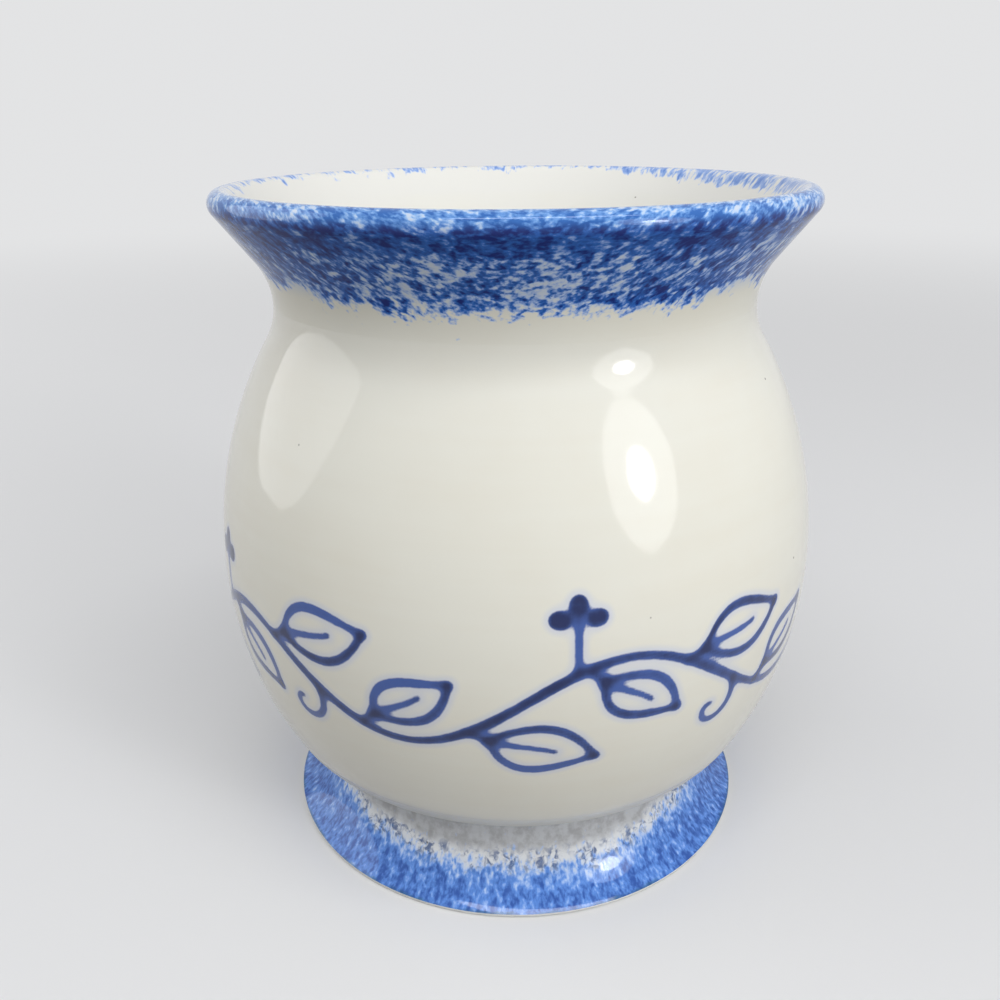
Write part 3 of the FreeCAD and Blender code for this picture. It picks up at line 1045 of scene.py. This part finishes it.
floor_mesh = bpy.data.meshes.new("floor")
corners = [(-FLOOR_HALF, -FLOOR_HALF, 0), (FLOOR_HALF, -FLOOR_HALF, 0), (FLOOR_HALF, FLOOR_HALF, 0),
           (-FLOOR_HALF, FLOOR_HALF, 0)]
floor_mesh.from_pydata(corners, [], [(0, 1, 2, 3)])
floor = bpy.data.objects.new("floor", floor_mesh)
floor_mesh.materials.append(floor_finish)
bpy.context.scene.collection.objects.link(floor)
print(f"floor {2 * FLOOR_HALF:.0f} m across, fading from {FADE[0]} to {FADE[1]} m away")

# %% Lamps
AIM = Vector((0, 0, 0.07))


def softbox(name, azimuth, elevation, distance, width, height, radiance):
    """An oval lamp round the pot, facing it; azimuth 0 is in front and 90 on the right.

    Its power is the radiance times pi times the oval's area, which is pi quarters of width times height.
    """
    lamp = bpy.data.lights.new(name, "AREA")
    lamp.shape = "ELLIPSE"
    lamp.size = width
    lamp.size_y = height
    lamp.energy = radiance * math.pi * width * height * math.pi / 4
    turn, climb = math.radians(azimuth), math.radians(elevation)
    away = Vector((math.sin(turn) * math.cos(climb), -math.cos(turn) * math.cos(climb), math.sin(climb)))
    holder = bpy.data.objects.new(name, lamp)
    holder.location = AIM + away * distance
    holder.rotation_euler = (-away).to_track_quat("-Z", "Y").to_euler()
    bpy.context.scene.collection.objects.link(holder)
    print(f"{name}: {lamp.energy:.2f} W")


softbox("softbox_right", azimuth=48, elevation=19, distance=0.9, width=0.42, height=0.62, radiance=2.6)
softbox("softbox_core", azimuth=48, elevation=19, distance=0.88, width=0.15, height=0.21, radiance=13.0)
softbox("softbox_above", azimuth=14, elevation=65, distance=1.0, width=1.0, height=0.14, radiance=6.0)
softbox("softbox_left", azimuth=-100, elevation=22, distance=1.0, width=0.9, height=1.0, radiance=1.25)

# %% World
BEHIND, IN_FRONT = 0.32, 0.94
BRIGHT_SIDE = (0.25, -0.95, 0.15)

world = bpy.data.worlds.new("studio")
world.use_nodes = True
bpy.context.scene.world = world
tree = world.node_tree
way = Socket(tree, tree.nodes.new("ShaderNodeTexCoord").outputs["Generated"])
toward = way.node("ShaderNodeVectorMath", {"operation": "DOT_PRODUCT"}, {0: way, 1: BRIGHT_SIDE}, "Value")
lighting = BEHIND + rise(toward, -0.3, 0.9) * (IN_FRONT - BEHIND)
strength = lighting + background_rays(tree) * (BACKDROP_STRENGTH - lighting)
tree.nodes["Background"].inputs["Color"].default_value = BACKDROP
tree.links.new(strength.output, tree.nodes["Background"].inputs["Strength"])
print(f"world: {BEHIND} behind, {IN_FRONT} in front, {BACKDROP_STRENGTH} as a background")

# %% [markdown]
# ## Camera
# The camera's place and tilt were solved from the ellipses that the round foot and lip make in the
# picture: the flatter an ellipse, the lower the camera. Its axes follow from three angles: pitch down,
# yaw to the side and roll about the line of sight.

# %% Camera
EYE = (0, -0.20153, 0.15240)
FOCAL_SHARE = 0.96078
PITCH, YAW, ROLL = math.radians(22.189), math.radians(-0.95), math.radians(-0.50)

ahead = Vector((math.sin(YAW) * math.cos(PITCH), math.cos(YAW) * math.cos(PITCH), -math.sin(PITCH)))
level = Vector((math.cos(YAW), -math.sin(YAW), 0))
upright = level.cross(ahead)
camera_x = level * math.cos(ROLL) + upright * math.sin(ROLL)
camera_y = upright * math.cos(ROLL) - level * math.sin(ROLL)

lens = bpy.data.cameras.new("camera")
lens.sensor_width = 36.0
lens.lens = FOCAL_SHARE * lens.sensor_width
lens.clip_start = 0.01
camera = bpy.data.objects.new("camera", lens)
axes = Matrix((camera_x, camera_y, -ahead)).transposed()
camera.matrix_world = Matrix.Translation(EYE) @ axes.to_4x4()
bpy.context.scene.collection.objects.link(camera)
bpy.context.scene.camera = camera
bpy.context.scene.view_settings.view_transform = "Standard"
print(f"camera: {lens.lens:.1f} mm lens, {EYE[2] / MM:.0f} mm up")
